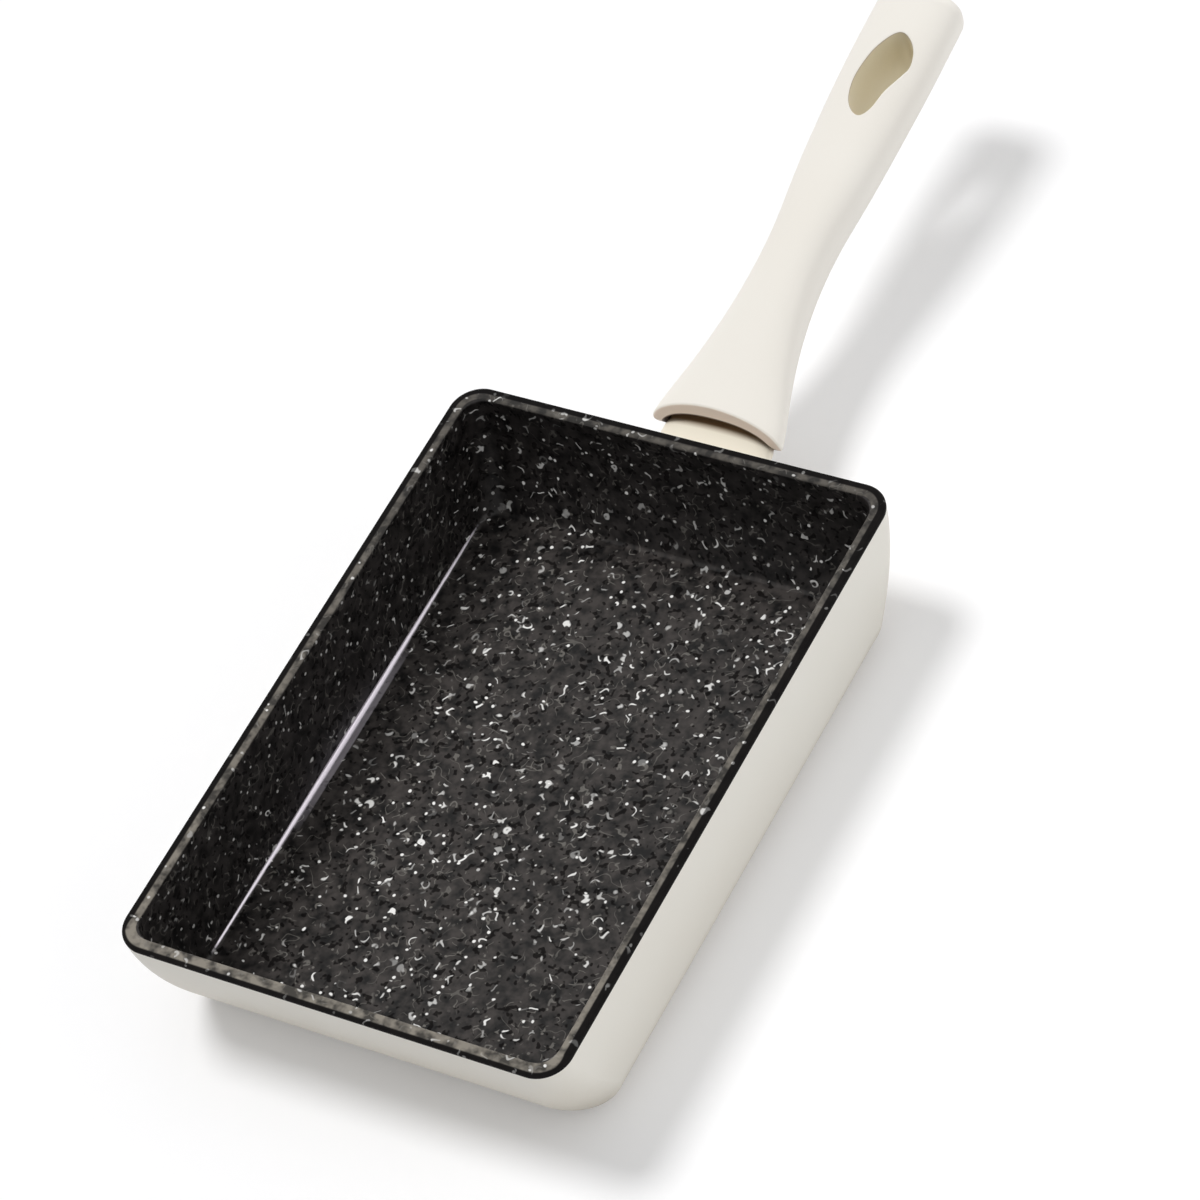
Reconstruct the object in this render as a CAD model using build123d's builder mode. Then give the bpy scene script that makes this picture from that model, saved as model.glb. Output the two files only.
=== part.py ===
from build123d import *
import os
from math import cos, radians, sin, tau

# A tamagoyaki pan: a cast rectangular omelette tray, an oval ferrule and a bell-mouthed handle.
# Millimetres. The origin is the middle of the underside, +Z is up and the handle points along +Y.

# Tray
rim_width = 130.4
rim_length = 190.0
tray_height = 39.0
side_lean = 2.4
end_lean = 14.6
wall_curve = 1.0
tray_levels = 5
rim_corner_radius = 8.5
base_corner_radius = 13.4
base_edge_radius = 9.0
wall_thickness = 3.4
rim_thickness = 4.0
floor_thickness = 4.5
pocket_corner_radius = 6.0
pocket_floor_radius = 1.5
rim_edge_radius = 0.7

# Non-stick coating: it lines the tray, covers the rim and ends in a band outside it
coating_thickness = 0.3
coated_band_height = 1.1

# Steel plate pressed into the underside
plate_width = 88.0
plate_length = 132.0
plate_thickness = 0.8
plate_corner_radius = 12.0
plate_hole_radius = 1.8
plate_hole_pitch = 11.0
plate_border = 8.0

# Neck axis: the straight line that carries the boss, the bracket and the ferrule into the handle
mouth_reach = 15.3
neck_height = 19.3
neck_rise = 12.3

# Boss cast on the end wall, with two tapped holes for the bracket
boss_width = 25.4
boss_height = 6.4
boss_face_gap = 9.5
bracket_hole_spacing = 17.4
bracket_hole_depth = 8.0

# Bracket: a foot screwed to the boss, and a tang that runs into the handle
foot_thickness = 3.0
tang_width = 9.6
tang_thickness = 4.0
tang_length = 52.0
tang_lift = 0.9
tang_tip_radius = 3.0

# Screws and their washers
bracket_screw_radius = 2.0
bracket_screw_length = 10.0
bracket_head_radius = 3.1
bracket_head_height = 2.4
bracket_washer_radius = 3.1
bracket_washer_thickness = 0.9
handle_screw_radius = 2.5
handle_head_radius = 4.3
handle_head_height = 2.2
handle_washer_radius = 4.3
handle_washer_thickness = 0.9
drive_slot_width = 0.9
drive_slot_depth = 1.2
head_edge_radius = 0.6
washer_split = 0.8
thread_clearance = 0.05
shank_clearance = 0.25

# Ferrule: the oval neck between the tray and the handle, and its narrower tip inside the handle
ferrule_width = 32.6
ferrule_height = 11.0
ferrule_root_width = 38.6
ferrule_root_height = 15.8
ferrule_tip_width = 28.0
ferrule_tip_height = 9.0
ferrule_wall = 1.2
ferrule_web = 2.0
ferrule_insertion = 8.0
slot_clearance = 0.3

# Handle: its spine starts above the neck axis and bows towards level at the tail. The mouth is
# nearest to the tray at its sides: its upper lip leans back a little and its lower lip more.
handle_length = 142.5
handle_bow = 6.8
spine_lift = 2.9
upper_lip_lean = 8.0
lower_lip_lean = 33.0
mouth_nose_radius = 5.0
mouth_width = 39.4
mouth_above = 9.0
mouth_below = 11.8
waist_width = 18.6
waist_above = 8.8
waist_below = 8.8
tail_width = 25.6
tail_above = 8.8
tail_below = 8.8
mouth_side_clearance = 0.7
mouth_roof_clearance = 2.8
mouth_floor_clearance = 0.7
mouth_edge_radius = 0.8
tail_edge_radius = 4.5

# Socket for the tang, and the seat of the handle's screw under the handle
socket_clearance = 0.3
socket_end_room = 1.5
screw_station = 27.0
screw_seat_thickness = 2.0
screw_tip_overhang = 0.8
screw_tip_room = 0.8
head_clearance = 0.4

# Hanging hole: it narrows towards the underside, as a moulded hole does
hang_hole_width = 13.1
hang_hole_length = 28.7
hang_hole_offset = 1.8
hang_hole_tail_gap = 16.7
hang_hole_bottom_share = 0.88
hang_hole_edge_radius = 0.4

overrun = 2.0

# Ovals are superellipses: the number of points on one, and how square it is at the mouth, along the
# grip and on the ferrule
oval_points = 20
mouth_power = 1.9
grip_power = 2.3
ferrule_power = 2.3

# Outline of the hanging hole, a lopsided drop, as shares of its width and length from its middle
hang_hole_shares = [
    (0.49, 0.11),
    (0.37, -0.05),
    (0.26, -0.21),
    (0.19, -0.38),
    (0.01, -0.50),
    (-0.27, -0.42),
    (-0.44, -0.26),
    (-0.50, -0.09),
    (-0.47, 0.07),
    (-0.39, 0.23),
    (-0.22, 0.39),
    (0.04, 0.50),
    (0.34, 0.42),
    (0.49, 0.27),
]

# Sections along the handle, as shares of its length, with how far the mouth's flare is still open
# and how far the tail's swell has grown. The first lies before the mouth, which is cut square.
flare_shares = [
    (-0.08, 1.08),
    (0.00, 0.99),
    (0.06, 0.79),
    (0.12, 0.54),
    (0.18, 0.33),
    (0.24, 0.17),
    (0.31, 0.05),
    (0.39, 0.00),
]
swell_shares = [
    (0.46, 0.12),
    (0.52, 0.36),
    (0.58, 0.57),
    (0.65, 0.74),
    (0.74, 0.90),
    (0.83, 0.99),
    (0.93, 0.98),
    (1.00, 0.88),
]

base_width = rim_width - 2 * side_lean
base_length = rim_length - 2 * end_lean
mouth_y = rim_length / 2 + mouth_reach
neck_root_at = -(mouth_reach + end_lean + wall_thickness)
boss_face_at = -boss_face_gap
foot_face_at = boss_face_at + foot_thickness
bracket_head_at = foot_face_at + bracket_washer_thickness
tang_bottom = tang_lift - tang_thickness / 2
tang_top = tang_lift + tang_thickness / 2
socket_floor = tang_bottom - socket_clearance
washer_seat = socket_floor - screw_seat_thickness
head_seat = washer_seat - handle_washer_thickness
handle_screw_tip = tang_top + screw_tip_overhang
hang_hole_station = handle_length - hang_hole_tail_gap - hang_hole_length / 2

# Directions of the neck axis and square to it, and the point where it crosses the mouth
neck_direction = Vector(0, cos(radians(neck_rise)), sin(radians(neck_rise)))
neck_up = Vector(0, -sin(radians(neck_rise)), cos(radians(neck_rise)))
neck_point = Vector(0, mouth_y, neck_height)


def across_neck(station):
    """Plane square to the neck axis at a station. Its local Y points up, its normal to the tray."""
    return Plane(origin=neck_point + neck_direction * station, x_dir=(1, 0, 0), z_dir=-neck_direction)


def over_neck(station, height):
    """Plane along the neck axis at a station and a height. Its local Y points to the tail."""
    origin = neck_point + neck_direction * station + neck_up * height
    return Plane(origin=origin, x_dir=(1, 0, 0), z_dir=neck_up)


def spine_rise(station):
    """Angle of the handle's spine at a station. It falls evenly, so the spine is an arc."""
    return radians(neck_rise - handle_bow * station / handle_length)


def spine_point(station):
    """Point of the handle's spine at a station. The spine starts over the middle of the mouth."""
    spine_radius = handle_length / radians(handle_bow)
    start = radians(neck_rise)
    run = spine_radius * (sin(start) - sin(spine_rise(station)))
    climb = spine_radius * (cos(spine_rise(station)) - cos(start))
    return neck_point + neck_up * spine_lift + Vector(0, run, climb)


def across_spine(station):
    """Plane square to the handle's spine at a station. Its local Y points up, its normal to the tray."""
    rise = spine_rise(station)
    return Plane(origin=spine_point(station), x_dir=(1, 0, 0), z_dir=(0, -cos(rise), -sin(rise)))


def along_spine(station):
    """Plane along the handle's spine at a station. Its local Y points to the tail, its normal up."""
    rise = spine_rise(station)
    return Plane(origin=spine_point(station), x_dir=(1, 0, 0), z_dir=(0, -sin(rise), cos(rise)))


def oval(width, above, below, power):
    """Superellipse on the current sketch, with its own height above and below the middle."""
    points = []
    for step in range(oval_points):
        angle = tau * step / oval_points
        side = abs(cos(angle)) ** (2 / power) * (1 if cos(angle) > 0 else -1)
        lift = abs(sin(angle)) ** (2 / power) * (1 if sin(angle) > 0 else -1)
        points.append((side * width / 2, lift * (above if lift > 0 else below)))
    with BuildLine() as outline:
        Spline(*points, periodic=True)
    make_face(outline.edges())


def spread(height):
    """Share of the walls' lean that is reached at a height. With a curve of 1, a wall that leans
    out at the base stands upright at the rim."""
    share = height / tray_height
    return share + wall_curve * share * (1 - share)


def tray_outline(height, inset):
    """Rounded rectangle of the tray's outside at a height, drawn in by an inset."""
    share = height / tray_height
    corner = base_corner_radius + (rim_corner_radius - base_corner_radius) * share
    RectangleRounded(
        base_width + 2 * side_lean * spread(height) - 2 * inset,
        base_length + 2 * end_lean * spread(height) - 2 * inset,
        corner - inset,
    )


def food_space(skin):
    """The hollow of the tray above its floor, wider by a skin on every side."""
    bottom = floor_thickness - skin
    with BuildPart() as space:
        for level in range(tray_levels):
            share = level / (tray_levels - 1)
            height = bottom + (tray_height - bottom) * share
            wall = wall_thickness + (rim_thickness - wall_thickness) * share
            with BuildSketch(Plane.XY.offset(height)):
                RectangleRounded(
                    base_width + 2 * side_lean * spread(height) - 2 * (wall - skin),
                    base_length + 2 * end_lean * spread(height) - 2 * (wall - skin),
                    pocket_corner_radius + skin,
                )
        loft()
        fillet(space.faces().sort_by(Axis.Z)[0].edges(), pocket_floor_radius + skin)
    return space.part


def screw_head(plane, radius, height):
    """Round screw head standing on a plane, with a cross recess in its top."""
    with BuildPart() as head:
        with BuildSketch(plane):
            Circle(radius)
        extrude(amount=height)
        fillet(head.edges().sort_by(Axis(plane.origin, plane.z_dir))[-1], head_edge_radius)
        with BuildSketch(plane.offset(height)):
            Rectangle(radius, drive_slot_width)
            Rectangle(drive_slot_width, radius)
        extrude(amount=-drive_slot_depth, mode=Mode.SUBTRACT)
    return head.part


# Solids that several pieces share
with BuildPart() as tray_block:
    for level in range(tray_levels):
        height = tray_height * level / (tray_levels - 1)
        with BuildSketch(Plane.XY.offset(height)):
            tray_outline(height, 0)
    loft()
    fillet(tray_block.faces().sort_by(Axis.Z)[0].edges(), base_edge_radius)

with BuildPart() as boss:
    with BuildSketch(across_neck(boss_face_at)):
        SlotOverall(boss_width, boss_height)
    extrude(amount=boss_face_at - neck_root_at)

coated_hollow = food_space(0)
cast_hollow = food_space(coating_thickness)

# Steel plate: a sheet with a grid of small holes, which the aluminium fills when it is pressed in
holes_across = int((plate_width - 2 * plate_border) // plate_hole_pitch)
holes_along = int((plate_length - 2 * plate_border) // plate_hole_pitch)
with BuildPart() as induction_plate:
    with BuildSketch(Plane.XY):
        RectangleRounded(plate_width, plate_length, plate_corner_radius)
        with GridLocations(plate_hole_pitch, plate_hole_pitch, holes_across, holes_along):
            Circle(plate_hole_radius, mode=Mode.SUBTRACT)
    extrude(amount=plate_thickness)

# Finished tray: casting and coating together
with BuildPart() as finished_tray:
    add(tray_block.part)
    add(boss.part)
    add(coated_hollow, mode=Mode.SUBTRACT)
    rim_face = finished_tray.faces().filter_by(Axis.Z).sort_by(Axis.Z)[-1]
    fillet(rim_face.edges(), rim_edge_radius)

# Bare casting: the same tray, drawn in by the coating inside, on the rim and in the band outside
band_bottom = tray_height - coated_band_height
with BuildPart() as bare_rim:
    with BuildSketch(Plane.XY.offset(band_bottom)):
        tray_outline(band_bottom, coating_thickness)
    with BuildSketch(Plane.XY.offset(tray_height - coating_thickness)):
        tray_outline(tray_height - coating_thickness, coating_thickness)
    loft(ruled=True)

with BuildPart() as bare_casting:
    add(tray_block.part)
    add(boss.part)
    with BuildSketch(Plane.XY.offset(band_bottom)):
        Rectangle(rim_width + 2 * overrun, rim_length + 2 * overrun)
    extrude(amount=coated_band_height + overrun, mode=Mode.SUBTRACT)
    add(bare_rim.part)
    add(cast_hollow, mode=Mode.SUBTRACT)
    rim_face = bare_casting.faces().filter_by(Axis.Z).sort_by(Axis.Z)[-1]
    fillet(rim_face.edges(), rim_edge_radius - coating_thickness)

# Non-stick coating: what lies between the two
with BuildPart() as nonstick_coating:
    add(finished_tray.part)
    add(bare_casting.part, mode=Mode.SUBTRACT)

# Cast tray, with the pocket that the plate fills and the bracket's tapped holes
with BuildPart() as pan_body:
    add(bare_casting.part)
    add(induction_plate.part, mode=Mode.SUBTRACT)
    with BuildSketch(across_neck(boss_face_at)):
        with GridLocations(bracket_hole_spacing, 0, 2, 1):
            Circle(bracket_screw_radius + thread_clearance)
    extrude(amount=bracket_hole_depth, mode=Mode.SUBTRACT)

# Bracket: a foot on the boss, and a tang with the tapped hole for the handle's screw
with BuildPart() as tang_bracket:
    with BuildSketch(across_neck(foot_face_at)):
        SlotOverall(boss_width, boss_height)
        with GridLocations(bracket_hole_spacing, 0, 2, 1):
            Circle(bracket_screw_radius + shank_clearance, mode=Mode.SUBTRACT)
    extrude(amount=foot_thickness)
    with BuildSketch(over_neck(foot_face_at + tang_length / 2, tang_bottom)) as tang_outline:
        Rectangle(tang_width, tang_length)
        fillet(tang_outline.vertices().group_by(Axis.Y)[-1], tang_tip_radius)
    extrude(amount=tang_thickness)
    with BuildSketch(over_neck(screw_station, tang_bottom)):
        Circle(handle_screw_radius + thread_clearance)
    extrude(amount=tang_thickness, mode=Mode.SUBTRACT)

# Bracket screws and the split washers under their heads
bracket_head = screw_head(-across_neck(bracket_head_at), bracket_head_radius, bracket_head_height)
with BuildPart() as bracket_screws:
    with BuildSketch(across_neck(bracket_head_at)):
        with GridLocations(bracket_hole_spacing, 0, 2, 1):
            Circle(bracket_screw_radius)
    extrude(amount=bracket_screw_length)
    with Locations((-bracket_hole_spacing / 2, 0, 0), (bracket_hole_spacing / 2, 0, 0)):
        add(bracket_head)

with BuildPart() as bracket_spring_washers:
    with BuildSketch(across_neck(bracket_head_at)):
        with GridLocations(bracket_hole_spacing, 0, 2, 1):
            Circle(bracket_washer_radius)
            Circle(bracket_screw_radius + shank_clearance, mode=Mode.SUBTRACT)
            with Locations((0, bracket_washer_radius / 2)):
                Rectangle(washer_split, bracket_washer_radius, mode=Mode.SUBTRACT)
    extrude(amount=bracket_washer_thickness)

# Ferrule: widest where it meets the end wall, narrower inside the handle, with a slotted end web
ferrule_half = ferrule_height / 2
ferrule_root_half = ferrule_root_height / 2
ferrule_tip_half = ferrule_tip_height / 2
hollow_width = ferrule_width - 2 * ferrule_wall
hollow_root_width = ferrule_root_width - 2 * ferrule_wall
hollow_half = ferrule_half - ferrule_wall
hollow_root_half = ferrule_root_half - ferrule_wall
hollow_tip_width = ferrule_tip_width - 2 * ferrule_wall
hollow_tip_half = ferrule_tip_half - ferrule_wall
with BuildPart() as ferrule_hollow:
    with BuildSketch(across_neck(neck_root_at)):
        oval(hollow_root_width, hollow_root_half, hollow_root_half, ferrule_power)
    with BuildSketch(across_neck(0)):
        oval(hollow_width, hollow_half, hollow_half, ferrule_power)
    with BuildSketch(across_neck(ferrule_insertion - ferrule_web)):
        oval(hollow_tip_width, hollow_tip_half, hollow_tip_half, ferrule_power)
    loft(ruled=True)

with BuildPart() as ferrule:
    with BuildSketch(across_neck(neck_root_at)):
        oval(ferrule_root_width, ferrule_root_half, ferrule_root_half, ferrule_power)
    with BuildSketch(across_neck(0)):
        oval(ferrule_width, ferrule_half, ferrule_half, ferrule_power)
    with BuildSketch(across_neck(ferrule_insertion)):
        oval(ferrule_tip_width, ferrule_tip_half, ferrule_tip_half, ferrule_power)
    loft(ruled=True)
    add(ferrule_hollow.part, mode=Mode.SUBTRACT)
    add(tray_block.part, mode=Mode.SUBTRACT)
    with BuildSketch(across_neck(ferrule_insertion)):
        with Locations((0, tang_lift)):
            Rectangle(tang_width + 2 * slot_clearance, tang_thickness + 2 * slot_clearance)
    extrude(amount=2 * ferrule_web, mode=Mode.SUBTRACT)

# Handle: lofted along its spine, cut at the mouth's two leaning lips and rounded at the tail
upper_lip_plane = Plane(
    origin=neck_point + neck_up * spine_lift,
    x_dir=(1, 0, 0),
    z_dir=(0, cos(radians(upper_lip_lean)), -sin(radians(upper_lip_lean))),
)
lower_lip_plane = Plane(
    origin=neck_point + neck_up * spine_lift,
    x_dir=(1, 0, 0),
    z_dir=(0, cos(radians(lower_lip_lean)), sin(radians(lower_lip_lean))),
)
with BuildPart() as handle_grip:
    for share, flare in flare_shares:
        with BuildSketch(across_spine(share * handle_length)):
            oval(
                waist_width + (mouth_width - waist_width) * flare,
                waist_above + (mouth_above - waist_above) * flare,
                waist_below + (mouth_below - waist_below) * flare,
                grip_power + (mouth_power - grip_power) * flare,
            )
    for share, swell in swell_shares:
        with BuildSketch(across_spine(share * handle_length)):
            oval(
                waist_width + (tail_width - waist_width) * swell,
                waist_above + (tail_above - waist_above) * swell,
                waist_below + (tail_below - waist_below) * swell,
                grip_power,
            )
    loft()
    split(bisect_by=upper_lip_plane)
    split(bisect_by=lower_lip_plane)
    fillet(handle_grip.edges().filter_by(Axis.X).sort_by(Axis.Y)[0], mouth_nose_radius)
    lip_faces = handle_grip.faces().sort_by(Axis.Y)[:3]
    fillet(lip_faces.edges().filter_by(Axis.X, reverse=True), mouth_edge_radius)
    tail_face = handle_grip.faces().filter_by(GeomType.PLANE).sort_by(Axis.Y)[-1]
    fillet(tail_face.edges(), tail_edge_radius)
    # Hanging hole, through both faces, with softened edges
    for height, share in ((tail_above + overrun, 1), (-tail_below - overrun, hang_hole_bottom_share)):
        with BuildSketch(along_spine(hang_hole_station).offset(height)):
            hole_points = []
            for across_share, along_share in hang_hole_shares:
                across = hang_hole_offset + share * across_share * hang_hole_width
                hole_points.append((across, share * along_share * hang_hole_length))
            with BuildLine():
                Spline(*hole_points, periodic=True)
            make_face()
    loft(ruled=True, mode=Mode.SUBTRACT)
    hole_rims = handle_grip.edges(Select.LAST).filter_by(GeomType.LINE, reverse=True)
    fillet(hole_rims, hang_hole_edge_radius)
    # Mouth, open around the ferrule and narrowing with it
    for station in (-ferrule_insertion, 0):
        with BuildSketch(across_neck(station)):
            oval(
                ferrule_width + 2 * mouth_side_clearance,
                ferrule_half + mouth_roof_clearance,
                ferrule_half + mouth_floor_clearance,
                ferrule_power,
            )
    with BuildSketch(across_neck(ferrule_insertion)):
        oval(
            ferrule_tip_width + 2 * mouth_side_clearance,
            ferrule_tip_half + mouth_roof_clearance,
            ferrule_tip_half + mouth_floor_clearance,
            ferrule_power,
        )
    loft(ruled=True, mode=Mode.SUBTRACT)
    # Socket for the tang
    with BuildSketch(across_neck(ferrule_insertion)):
        with Locations((0, tang_lift)):
            Rectangle(tang_width + 2 * socket_clearance, tang_thickness + 2 * socket_clearance)
    extrude(amount=-(foot_face_at + tang_length + socket_end_room - ferrule_insertion), mode=Mode.SUBTRACT)
    # Recess for the screw's head, and the way through to the tang and past it
    with BuildSketch(over_neck(screw_station, washer_seat)):
        Circle(handle_head_radius + head_clearance)
    extrude(amount=-mouth_below, mode=Mode.SUBTRACT)
    with BuildSketch(over_neck(screw_station, washer_seat)):
        Circle(handle_screw_radius + shank_clearance)
    extrude(amount=handle_screw_tip + screw_tip_room - washer_seat, mode=Mode.SUBTRACT)

# Handle screw and its washer, under the handle
handle_head = screw_head(-over_neck(screw_station, head_seat), handle_head_radius, handle_head_height)
with BuildPart() as handle_screw:
    with BuildSketch(over_neck(screw_station, head_seat)):
        Circle(handle_screw_radius)
    extrude(amount=handle_screw_tip - head_seat)
    add(handle_head)

with BuildPart() as handle_screw_washer:
    with BuildSketch(over_neck(screw_station, head_seat)):
        Circle(handle_washer_radius)
        Circle(handle_screw_radius + shank_clearance, mode=Mode.SUBTRACT)
    extrude(amount=handle_washer_thickness)

pieces = {
    "pan_body": pan_body,
    "nonstick_coating": nonstick_coating,
    "induction_plate": induction_plate,
    "tang_bracket": tang_bracket,
    "bracket_screws": bracket_screws,
    "bracket_spring_washers": bracket_spring_washers,
    "ferrule": ferrule,
    "handle_grip": handle_grip,
    "handle_screw": handle_screw,
    "handle_screw_washer": handle_screw_washer,
}
os.makedirs("parts", exist_ok=True)
for name, piece in pieces.items():
    piece.part.label = name
    export_step(piece.part, "parts/" + name + ".step")
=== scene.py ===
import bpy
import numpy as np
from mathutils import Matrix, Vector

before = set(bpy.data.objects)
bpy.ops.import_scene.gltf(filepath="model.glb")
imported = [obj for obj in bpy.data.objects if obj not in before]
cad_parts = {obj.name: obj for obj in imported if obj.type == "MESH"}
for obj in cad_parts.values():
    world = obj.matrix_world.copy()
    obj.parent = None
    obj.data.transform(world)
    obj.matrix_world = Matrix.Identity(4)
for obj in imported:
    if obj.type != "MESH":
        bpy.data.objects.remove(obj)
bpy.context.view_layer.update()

# %% [markdown]
# # A tamagoyaki pan
#
# The pan is a rectangular omelette tray of cast aluminium, ivory outside and lined with a dark
# speckled coating, with an oval neck and a bell-mouthed plastic handle. Its exact solids are loaded
# above as a fixed frame, in metres: the origin is the middle of the underside, +Y points along the
# handle and +Z up. This lesson gives each solid its finish, and makes the camera, the floor and the
# light.

# %% [markdown]
# ## Shader maths as plain Python
#
# A material is a graph of nodes, and wiring each node by hand hides the idea behind it. A small class
# wraps one socket, so that an ordinary expression such as `1 - mask * 0.5` adds the Math nodes it
# needs. Every other node comes from one method, which takes the node's type, its settings and the
# values or links of its sockets. Another way would be to draw the graph in the node editor, but code
# can be read, reused and run again.

# %% A socket that can be calculated with


def read_socket(item):
    """The bare socket of a wrapped value, or the number itself."""
    return item.socket if isinstance(item, Wire) else item


class Wire:
    """One output socket of a node tree, with the operators of a number."""

    def __init__(self, tree, socket):
        self.tree = tree
        self.socket = socket

    def node(self, kind, settings=None, out=0, **inputs):
        """Adds any node: first its settings, then its sockets, by name or as i0, i1, i2."""
        made = self.tree.nodes.new(kind)
        for name, value in (settings or {}).items():
            setattr(made, name, value)
        for name, value in inputs.items():
            plain = name[0] == "i" and name[1:].isdigit()
            target = made.inputs[int(name[1:])] if plain else made.inputs[name.replace("_", " ")]
            value = read_socket(value)
            if isinstance(value, bpy.types.NodeSocket):
                self.tree.links.new(value, target)
            else:
                target.default_value = value
        return Wire(self.tree, made.outputs[out])

    def maths(self, operation, first, second=0.0, third=0.0, clamp=False):
        """One Math node."""
        settings = {"operation": operation, "use_clamp": clamp}
        return self.node("ShaderNodeMath", settings, i0=first, i1=second, i2=third)

    def __add__(self, other):
        return self.maths("ADD", self, other)

    def __radd__(self, other):
        return self.maths("ADD", other, self)

    def __sub__(self, other):
        return self.maths("SUBTRACT", self, other)

    def __rsub__(self, other):
        return self.maths("SUBTRACT", other, self)

    def __mul__(self, other):
        return self.maths("MULTIPLY", self, other)

    def __rmul__(self, other):
        return self.maths("MULTIPLY", other, self)

    def __truediv__(self, other):
        return self.maths("DIVIDE", self, other)

    def above(self, edge, width):
        """0 below the edge and 1 above it, with a soft step of the given width."""
        return self.maths("MULTIPLY", self - (edge - width / 2), 1 / width, clamp=True)

    def below(self, edge, width):
        """1 below the edge and 0 above it, with a soft step of the given width."""
        return 1 - self.above(edge, width)

    def larger(self, other):
        return self.maths("MAXIMUM", self, other)

    def size(self):
        """The number without its sign."""
        return self.maths("ABSOLUTE", self)

    def power(self, exponent):
        return self.maths("POWER", self, exponent)

    def vector(self, operation, other=(0.0, 0.0, 0.0), out=0):
        """One Vector Math node."""
        return self.node("ShaderNodeVectorMath", {"operation": operation}, out, i0=self, i1=other)

    def scaled(self, factors):
        """A vector with each part multiplied."""
        return self.vector("MULTIPLY", factors)

    def shifted(self, other):
        """A vector with another added."""
        return self.vector("ADD", other)

    def split(self):
        """The X, Y and Z of a vector."""
        first = self.node("ShaderNodeSeparateXYZ", Vector=self)
        sockets = first.socket.node.outputs
        return [Wire(self.tree, sockets[k]) for k in range(len(sockets))]


print("sockets can be added, subtracted, multiplied and divided")

# %% Starting a finish, and putting it on a solid


def linear(red, green, blue):
    """A colour written in the 0 to 255 of a picture, as light: each part to the power 2.2."""
    return tuple((part / 255) ** 2.2 for part in (red, green, blue))


class Finish:
    """A material with one shader. It knows its object coordinates, in metres."""

    def __init__(self, name):
        self.material = bpy.data.materials.new(name)
        self.material.use_nodes = True
        self.tree = self.material.node_tree
        self.shader = self.tree.nodes["Principled BSDF"]
        place = self.tree.nodes.new("ShaderNodeTexCoord")
        self.place = Wire(self.tree, place.outputs["Object"])
        self.normal = Wire(self.tree, place.outputs["Normal"])

    def set(self, **inputs):
        """Sets or links sockets of the shader, such as Base_Color or Roughness."""
        self.set_on(self.shader, **inputs)

    def set_on(self, shader, **inputs):
        """Does the same on another shader of this finish."""
        for name, value in inputs.items():
            target = shader.inputs[name.replace("_", " ")]
            value = read_socket(value)
            if isinstance(value, bpy.types.NodeSocket):
                self.tree.links.new(value, target)
            else:
                target.default_value = (*value, 1.0) if isinstance(value, tuple) else value

    def second_shader(self):
        """Adds another shader to the finish."""
        return self.tree.nodes.new("ShaderNodeBsdfPrincipled")

    def blend(self, second, share):
        """Shows the second shader where the share is 1 and the first where it is 0."""
        both = self.tree.nodes.new("ShaderNodeMixShader")
        self.tree.links.new(share.socket, both.inputs[0])
        self.tree.links.new(self.shader.outputs[0], both.inputs[1])
        self.tree.links.new(second.outputs[0], both.inputs[2])
        self.tree.links.new(both.outputs[0], self.tree.nodes["Material Output"].inputs["Surface"])

    def bump(self, height, distance):
        """Dents and grains the surface by a height from 0 to 1 times a distance in metres."""
        made = self.place.node("ShaderNodeBump", Strength=1.0, Distance=distance, Height=height)
        self.set(Normal=made)

    def noise(self, scale, detail=2.0, roughness=0.5, place=None):
        """Smooth cloudy values around 0.5, with this many clouds to a metre."""
        return self.place.node(
            "ShaderNodeTexNoise",
            Vector=place or self.place,
            Scale=scale,
            Detail=detail,
            Roughness=roughness,
        )

    def mix(self, share, first, second):
        """The first colour where the share is 0 and the second where it is 1."""
        first, second = ((*c, 1.0) if isinstance(c, tuple) else c for c in (first, second))
        return self.place.node("ShaderNodeMix", {"data_type": "RGBA"}, 2, i0=share, i6=first, i7=second)


def coat_solid(finish, *nodes):
    """Puts a finish on solids of the frame."""
    for name in nodes:
        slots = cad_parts[name].material_slots
        for slot in slots:
            slot.material = finish.material
    print(finish.material.name, "on", ", ".join(nodes))


# %% [markdown]
# ## The speckled coating
#
# A stone-look non-stick coating is sprayed in two passes: a near-black ground, then light drops that
# land as dots, flecks and short crooked strokes. The pattern could be painted on a picture and wrapped
# round the tray, but it would stretch at the corners. Here it is worked out in space instead, so it
# runs on round every fillet: small balls scattered in space show as dots where the surface cuts them,
# and the thin sheets where smooth noise crosses its middle value show as crooked strokes once they are
# cut short by such balls. The coat is thin and dull, so above the floor it mirrors only a little of the
# white room. The floor is also painted greyer than the walls, as a painted sheen, and the walls' specks
# are painted dimmer, as painted shade.

# %% Patterns of drops and strokes


def drops(place, cells, radius, share, softness=0.06):
    """Balls on scattered points: 1 where the distance to the nearest point is below a radius, in
    cells, and that point's own random number is below a share. Also gives the random number."""
    scatter = place.node("ShaderNodeTexVoronoi", Vector=place, Scale=cells)
    dice = Wire(scatter.tree, scatter.socket.node.outputs["Color"]).split()[0]
    return scatter.below(radius, softness) * dice.below(share, 0.02), dice


def strokes(finish, sheet_cells, half_width, ball_cells, radius, share):
    """Crooked strokes: 1 where noise differs from its middle value by less than a half width, inside
    scattered balls only. Also gives each ball's random number."""
    waves = finish.noise(sheet_cells, 1.0)
    line = (waves - 0.5).size().below(half_width, half_width * 0.7)
    balls, dice = drops(finish.place, ball_cells, radius, share, 0.1)
    return line * balls, dice


def stirred(finish, cells, reach):
    """Space pushed about by noise: place + (noise - 0.5) * reach, in metres."""
    clouds = Wire(finish.tree, finish.noise(cells, 1.0).socket.node.outputs["Color"])
    push = clouds.shifted((-0.5, -0.5, -0.5)).scaled((reach, reach, reach))
    return finish.place.shifted(push)


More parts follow.
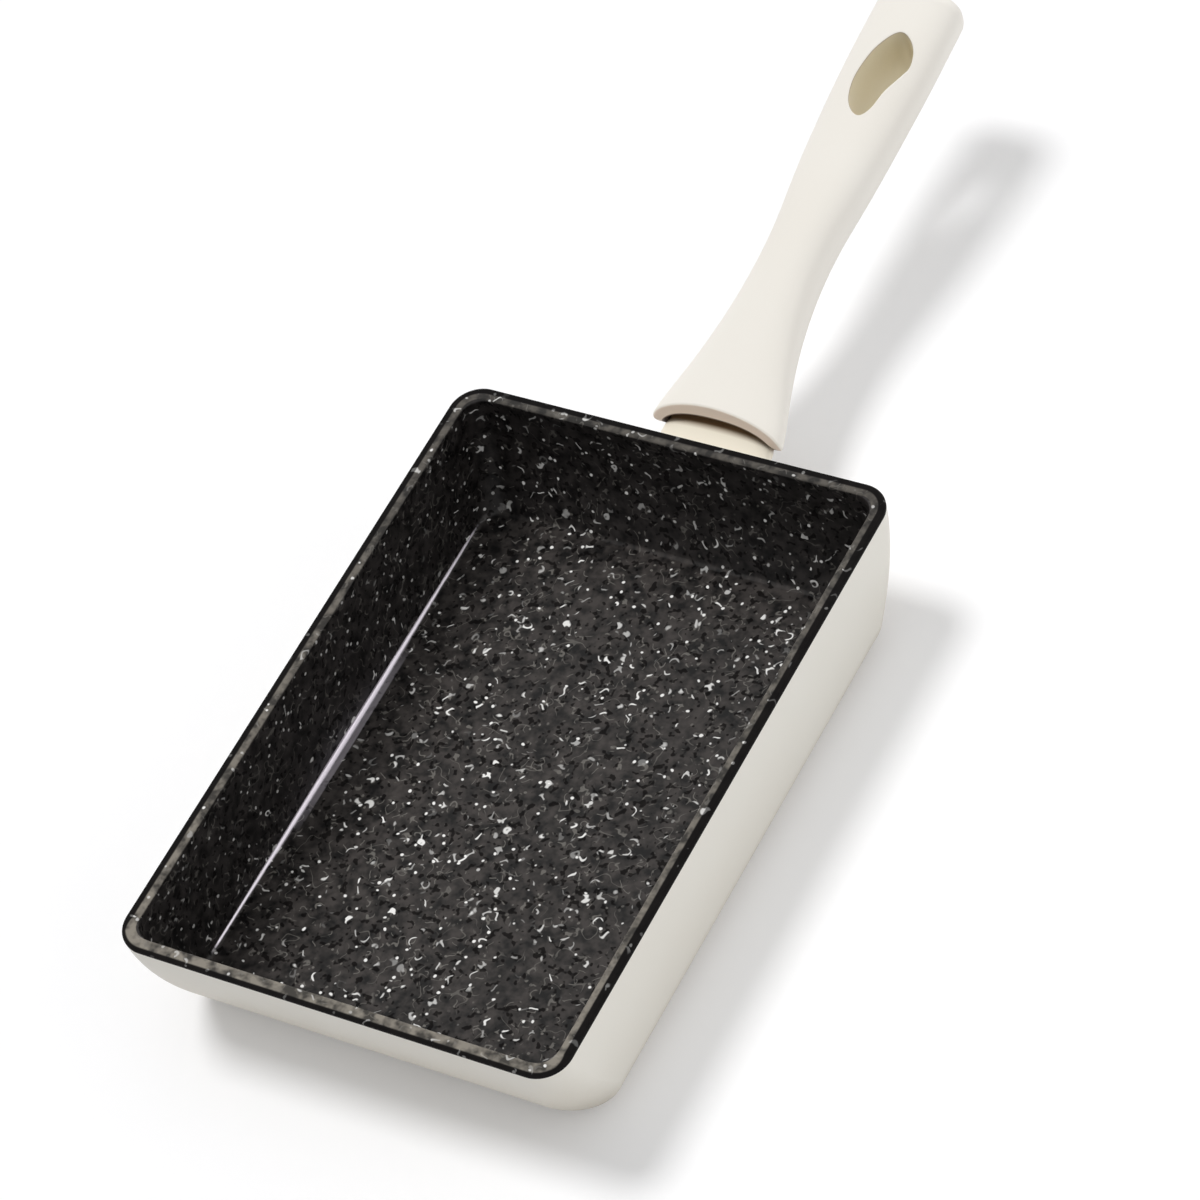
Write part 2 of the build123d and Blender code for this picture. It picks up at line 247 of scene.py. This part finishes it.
# %% Where the rim is
rim_half = (0.0652, 0.0950)
rim_corner = 0.0085
rim_top = 0.0390
rim_wall = 0.0040
lip_width = 0.0020
near_lip_width = 0.0011
near_end = -0.0885
band_height = 0.0016
floor_level = 0.0054


def rim_distance(place):
    """How far a point lies inside the rim's outline, seen from above, in metres: the corner radius
    minus the length of max(|place| - (half size - corner radius), 0)."""
    cut = (rim_corner - rim_half[0], rim_corner - rim_half[1], 0.0)
    flat = place.scaled((1.0, 1.0, 0.0)).vector("ABSOLUTE")
    past = flat.shifted(cut).vector("MAXIMUM", (0.0, 0.0, 0.0))
    return rim_corner - past.vector("LENGTH", out=1)


# %% The coating's pattern
coating = Finish("speckled coating")
across, along, up = coating.place.split()
stir = stirred(coating, 420.0, 0.0009)
mottle = coating.noise(300.0, 2.0, 0.55)
pits = coating.noise(520.0, 1.0)
clouds = coating.noise(60.0, 3.0)

dots, dot_dice = drops(stir, cells=285.0, radius=0.130, share=0.75)
flecks, fleck_dice = drops(stir, cells=430.0, radius=0.17, share=0.5)
hooks, hook_dice = strokes(
    coating, sheet_cells=200.0, half_width=0.026, ball_cells=300.0, radius=0.40, share=0.60
)
curls, _ = strokes(
    coating, sheet_cells=250.0, half_width=0.019, ball_cells=340.0, radius=0.46, share=0.60
)
threads, _ = strokes(
    coating, sheet_cells=170.0, half_width=0.009, ball_cells=110.0, radius=0.5, share=0.6
)

inside = rim_distance(coating.place)
on_top = up.above(rim_top - 0.0006, 0.0004)
near_side = along.below(near_end, 0.004)
lip_edge = lip_width - near_side * (lip_width - near_lip_width)
outer_band = up.above(rim_top - band_height, 0.0002) * inside.below(0.0004, 0.0002)
lip = inside.below(lip_edge, 0.0003).larger(outer_band)
# The rim top band is painted grey, partly as rubbed wear and partly as a painted sheen of light from
# above.
rim_top_band = on_top * inside.above(lip_edge, 0.0005) * inside.below(rim_wall - 0.0001, 0.0002)
floor_share = up.below(floor_level, 0.0012)
# Painted light: the grey band on the rim top is painted fainter towards the far end.
near_end_painted_light = 1 - along.above(-0.01, 0.17) * 0.68

# %% The coating's colour
ground_dark = linear(12, 10, 10)
# The floor's ground is painted lighter than the walls': a painted sheen.
wall_pale_painted_shade = linear(50, 47, 46)
floor_pale_painted_sheen = linear(66, 62, 60)
# Grey of the rim top's wear and painted sheen.
rim_grey_wear_and_sheen = linear(138, 132, 122)
fleck_grey = linear(120, 117, 112)
drop_white = linear(250, 249, 246)

pale_ground_painted_sheen = coating.mix(floor_share, wall_pale_painted_shade, floor_pale_painted_sheen)
ground = coating.mix(mottle.above(0.5, 0.34), ground_dark, pale_ground_painted_sheen)
rim_wear_and_sheen = rim_top_band * near_end_painted_light * (mottle.above(0.5, 0.24) * 0.8 + 0.15)
ground = coating.mix(rim_wear_and_sheen, ground, rim_grey_wear_and_sheen)
# Painted shade: dots, flecks and strokes on the walls are painted dimmer than on the floor.
wall_hooks_painted_shade = floor_share * 0.25 + 0.75
faint = (flecks * fleck_dice.above(0.12, 0.3)).larger(threads * 0.6).larger(curls * 0.9)
faint = faint * (1 - lip) * (floor_share * 0.35 + 0.65)
wall_dots_painted_shade = 1 - dot_dice.above(0.35, 0.2) * (1 - floor_share) * 0.5
bright = (dots * wall_dots_painted_shade).larger(hooks * (1 - hook_dice.above(0.26, 0.44)) * wall_hooks_painted_shade)
bright = bright * (1 - lip * 0.8) * (1 - rim_wear_and_sheen * 0.6)
colour = coating.mix(faint * 0.75, ground, fleck_grey)
colour = coating.mix(bright, colour, drop_white)

# %% [markdown]
# Along the foot of the left wall the photograph shows a bright thin line, widest in the middle. It is
# made as a painted highlight: a pale band on the fillet between wall and floor, on the left wall only,
# that also turns metallic and so mirrors the white room.

# %% The painted highlight at the foot of the left wall
seam_left_of = -0.0570
seam_height = 0.00496
seam_half = 0.00056
seam_taper = 0.0052
seam_middle = 0.0010
seam_reach = 0.0715
seam_edge = 0.00016
seam_room = along.size() * seam_taper + (up - seam_height).size() + (clouds - 0.5).size() * 0.00016
seam_painted_highlight = seam_room.below(seam_half, seam_edge) * across.below(seam_left_of, 0.0004)
seam_painted_highlight = seam_painted_highlight * (along - seam_middle).size().below(seam_reach, 0.004)
# Painted highlight: the band is painted a pale lilac grey.
colour = coating.mix(seam_painted_highlight, colour, linear(214, 207, 216))

# %% The coating's shaders
coating.set(
    Base_Color=colour,
    Metallic=seam_painted_highlight * 0.9,
    Roughness=0.36 + mottle * 0.14 - seam_painted_highlight * 0.1,
    Specular_IOR_Level=0.3,
)
dull = coating.second_shader()
dull_black = linear(16, 14, 14)
dull_colour = coating.mix(bright, dull_black, drop_white)
coating.set_on(dull, Base_Color=dull_colour, Roughness=0.9, Specular_IOR_Level=0.1)
dull_pits = pits.below(0.38, 0.06) * 0.8 * (1 - rim_top_band) * (1 - bright) * (1 - seam_painted_highlight)
coating.blend(dull, (lip * 0.85).larger(dull_pits))
coating.bump(mottle * 0.6 + bright * 0.4, 0.00002)
coat_solid(coating, "nonstick_coating")

# %% [markdown]
# ## Ivory outside, neck and handle
#
# The casting is sprayed ivory and baked, the neck is enamelled a little yellower, and the handle is
# moulded in ivory plastic with a fine spark-eroded skin. These finishes are nearly one colour, and it
# is the small things that make them real: a faint cloudiness of the colour, the orange peel of a
# sprayed coat or the grain of a mould, and an uneven gloss. All three come from one recipe with other
# numbers.

# %% A recipe for ivory


def ivory(name, colour, shade, gloss, grain_cells, grain_depth):
    """Ivory that drifts from a colour to a shade in soft clouds, with a grained and uneven gloss.
    Gives the finish and its colour, so that more can be laid over it."""
    finish = Finish(name)
    drift = finish.noise(22.0, 3.0)
    grain = finish.noise(grain_cells, 2.0)
    colour = finish.mix(drift.above(0.5, 0.5), colour, shade)
    finish.set(Base_Color=colour, Roughness=gloss + grain * 0.08 + drift * 0.06)
    finish.bump(grain, grain_depth)
    return finish, colour


# %% [markdown]
# The enamel is painted a little darker and browner where the wall turns under: painted shade. It
# follows how far the surface faces down, which its normal tells, and a noise frays it.

# %% The enamel of the tray
enamel, enamel_colour = ivory(
    "baked ivory",
    colour=linear(233, 230, 221),
    shade=linear(230, 226, 216),
    gloss=0.34,
    grain_cells=1400.0,
    grain_depth=0.000012,
)
facing_down = 0 - enamel.normal.split()[2]
fray = enamel.noise(90.0, 3.0, 0.6)
# Painted shade: the enamel is painted darker and browner the more it faces down.
underside_painted_shade = facing_down.above(0.32, 0.56) * (0.62 + fray * 0.4)
enamel.set(Base_Color=enamel.mix(underside_painted_shade, enamel_colour, linear(194, 184, 166)))
coat_solid(enamel, "pan_body")

# %% [markdown]
# The handle's skin carries painted shade in three places: the ring round the mouth, where it faces the
# tray, is a little pinker and darker, and the bores of the mouth and of the hanging hole are darker,
# with a still darker band where the hole's wall rounds over. The neck is painted browner too where the
# mouth swallows it, as painted shadow. The mouth's bore is where (|x| / half width) ^ 2.3 +
# (|height| / half height) ^ 2.3 is below 1, which is the oval it was drawn with. The hole's bore is
# what lies near the hole's middle and faces sideways.

# %% Where the mouth and the hanging hole are
neck_turn = np.radians(12.3)
mouth_place = (0.0, 0.1103, 0.0193)
mouth_half = (0.0170, 0.0083)
oval_power = 2.3
hole_middle = (0.0018, 0.2195)
hole_half = (0.0069, 0.0148)
hole_rise = np.radians(7.0)


def oval_room(across, height, half):
    """1 on the oval's outline, less inside it and more outside."""
    return (across.size() / half[0]).power(oval_power) + (height.size() / half[1]).power(oval_power)


def from_mouth(finish):
    """Metres across, along and above the neck's axis, from the middle of the mouth."""
    across, along, up = finish.place.shifted(tuple(-part for part in mouth_place)).split()
    station = along * np.cos(neck_turn) + up * np.sin(neck_turn)
    return across, station, up * np.cos(neck_turn) - along * np.sin(neck_turn)


# %% The enamel of the neck
neck_enamel, neck_colour = ivory(
    "neck ivory",
    colour=linear(242, 235, 219),
    shade=linear(238, 230, 212),
    gloss=0.30,
    grain_cells=1400.0,
    grain_depth=0.00001,
)
# Painted shadow: the neck is painted brown where it goes into the mouth.
mouth_painted_shadow = from_mouth(neck_enamel)[1].above(0.0006, 0.0022)
neck_enamel.set(Base_Color=neck_enamel.mix(mouth_painted_shadow, neck_colour, linear(132, 104, 76)))
coat_solid(neck_enamel, "ferrule")

# %% The skin of the handle
grip_skin, grip_colour = ivory(
    "handle ivory",
    colour=linear(243, 239, 231),
    shade=linear(240, 235, 226),
    gloss=0.42,
    grain_cells=3200.0,
    grain_depth=0.00001,
)
sideways, station, height = from_mouth(grip_skin)
# Painted shade: the mouth's bore is painted dark brown.
mouth_bore_painted_shade = oval_room(sideways, height, mouth_half).below(1.03, 0.05) * station.below(0.0065, 0.001)
skin_normal = grip_skin.normal.split()
facing_tray = 0 - skin_normal[1] * np.cos(neck_turn) - skin_normal[2] * np.sin(neck_turn)
# Painted shade: the ring round the mouth, where it faces the tray, is painted darker and pinker.
ring_painted_shade = facing_tray.above(0.72, 0.2) * station.below(0.012, 0.002)
side, length = grip_skin.place.split()[:2]
near_hole = (side - hole_middle[0]).size().below(hole_half[0], 0.0004)
near_hole = near_hole * (length - hole_middle[1]).size().below(hole_half[1], 0.0006)
facing_up = (skin_normal[2] * np.cos(hole_rise) - skin_normal[1] * np.sin(hole_rise)).size()
# Painted shade: the hanging hole's sideways-facing wall is painted darker and yellower.
hole_bore_painted_shade = near_hole * facing_up.below(0.5, 0.3)
# Painted shade: a darker brown band where the hole's wall rounds over to the top.
hole_lip_painted_shade = near_hole * facing_up.above(0.25, 0.1) * facing_up.below(0.68, 0.1)
skin = grip_skin.mix(ring_painted_shade, grip_colour, linear(229, 214, 203))
skin = grip_skin.mix(hole_bore_painted_shade, skin, linear(226, 216, 188))
skin = grip_skin.mix(hole_lip_painted_shade * 0.55, skin, linear(150, 122, 98))
grip_skin.set(Base_Color=grip_skin.mix(mouth_bore_painted_shade, skin, linear(78, 58, 40)))
coat_solid(grip_skin, "handle_grip")

# %% [markdown]
# ## Steel
#
# The plate under the tray is rolled and brushed, so its scratches run one way: noise that is squeezed
# across the scratches and drawn out along them. The bracket, screws and washers are zinc-plated, which
# is duller, slightly blue and cloudy.

# %% The steel finishes
brushed = Finish("brushed steel")
scratches = brushed.noise(900.0, 3.0, 0.7, brushed.place.scaled((1.0, 0.02, 1.0)))
brushed.set(
    Base_Color=brushed.mix(scratches, linear(150, 148, 145), linear(194, 192, 188)),
    Metallic=1.0,
    Roughness=0.28 + scratches * 0.2,
)
brushed.bump(scratches, 0.000006)
coat_solid(brushed, "induction_plate")

zinc = Finish("zinc plate")
spangle = zinc.noise(500.0, 3.0)
zinc.set(
    Base_Color=zinc.mix(spangle, linear(168, 171, 176), linear(200, 202, 204)),
    Metallic=1.0,
    Roughness=0.3 + spangle * 0.2,
)
zinc.bump(spangle, 0.000005)
coat_solid(
    zinc,
    "tang_bracket",
    "bracket_screws",
    "bracket_spring_washers",
    "handle_screw",
    "handle_screw_washer",
)

# %% [markdown]
# ## Camera, floor and light
#
# The camera was found from the rim, whose four corners are a rectangle of known size: only one place
# and lens show them where the photograph does. The floor is a pale sheet, a hair
# under the pan so that no two faces share a plane. What the camera and mirrors
# see of it gets a little light of its own, so that it reads as white paper while it still takes the
# pan's shadow. One broad lamp stands above the pan on the left, as the shadow shows. Mirrors don't see
# it, because a lamp that wide would fog the dull floor of the tray. A faint second lamp fills the
# outer wall from the right. A white room fills the rest, and it is brighter at the back and on the
# right: its strength grows with the dot product of the direction and a tilt.

# %% The camera
camera_data = bpy.data.cameras.new("camera")
camera_data.sensor_width = 36.0
camera_data.lens = 162.84
camera_data.clip_end = 50.0
camera = bpy.data.objects.new("camera", camera_data)
bpy.context.scene.collection.objects.link(camera)
camera_right = Vector((0.858188, 0.455668, -0.236389))
camera_up = Vector((-0.232654, 0.755740, 0.612151))
camera_back = camera_right.cross(camera_up)
turn = Matrix((camera_right, camera_up, camera_back)).transposed().to_4x4()
camera.matrix_world = Matrix.Translation((0.640585, -0.612204, 1.085350)) @ turn
bpy.context.scene.camera = camera

# %% The floor and the room
floor_reach = 3.0
floor_drop = 0.0001
corners = np.array([[-1, -1, 0], [1, -1, 0], [1, 1, 0], [-1, 1, 0]]) * floor_reach
floor_mesh = bpy.data.meshes.new("floor")
floor_mesh.from_pydata(corners.tolist(), [], [(0, 1, 2, 3)])
floor = bpy.data.objects.new("floor", floor_mesh)
bpy.context.scene.collection.objects.link(floor)
floor.location.z = -floor_drop


def seen_rays(place):
    """1 for what the camera, a mirror or glass sees, and 0 for the light that falls on things."""
    rays = place.node("ShaderNodeLightPath")
    sockets = rays.socket.node.outputs
    names = ("Is Camera Ray", "Is Glossy Ray", "Is Transmission Ray")
    first, second, third = (Wire(rays.tree, sockets[name]) for name in names)
    return first.larger(second).larger(third)


paper_glow = 0.175
paper = Finish("floor paper")
paper.set(
    Base_Color=(0.85, 0.85, 0.86),
    Roughness=1.0,
    Specular_IOR_Level=0.0,
    Emission_Color=(1.0, 1.0, 1.0),
    Emission_Strength=seen_rays(paper.place) * paper_glow,
)
floor_mesh.materials.append(paper.material)

room = bpy.data.worlds.new("room")
room.use_nodes = True
bpy.context.scene.world = room
backdrop = room.node_tree.nodes["Background"]
backdrop.inputs["Color"].default_value = (1.0, 1.0, 1.0, 1.0)
room_light = 0.47
room_tilt = (0.40, 0.45, 0.0)
room_seen = 1.0
bare = Wire(room.node_tree, None)
toward = bare.node("ShaderNodeTexCoord")
light = (toward.vector("DOT_PRODUCT", room_tilt, 1) + 1) * room_light
strength = seen_rays(bare) * (room_seen - light) + light
room.node_tree.links.new(strength.socket, backdrop.inputs["Strength"])
print("room light", room_light)

# %% The lamps


def sun(name, strength, toward, width):
    """A lamp as far off as the sun, which shines from a direction and spans an angle in degrees."""
    data = bpy.data.lights.new(name, "SUN")
    data.energy = strength
    data.angle = np.radians(width)
    lamp = bpy.data.objects.new(name, data)
    bpy.context.scene.collection.objects.link(lamp)
    lamp.rotation_euler = Vector(toward).to_track_quat("Z", "Y").to_euler()
    return lamp


key = sun("key", strength=1.70, toward=(-0.42, 0.06, 0.905), width=19)
key.visible_glossy = False
sun("side", strength=0.40, toward=(0.90, 0.10, 0.35), width=60)
bpy.context.scene.view_settings.view_transform = "Standard"
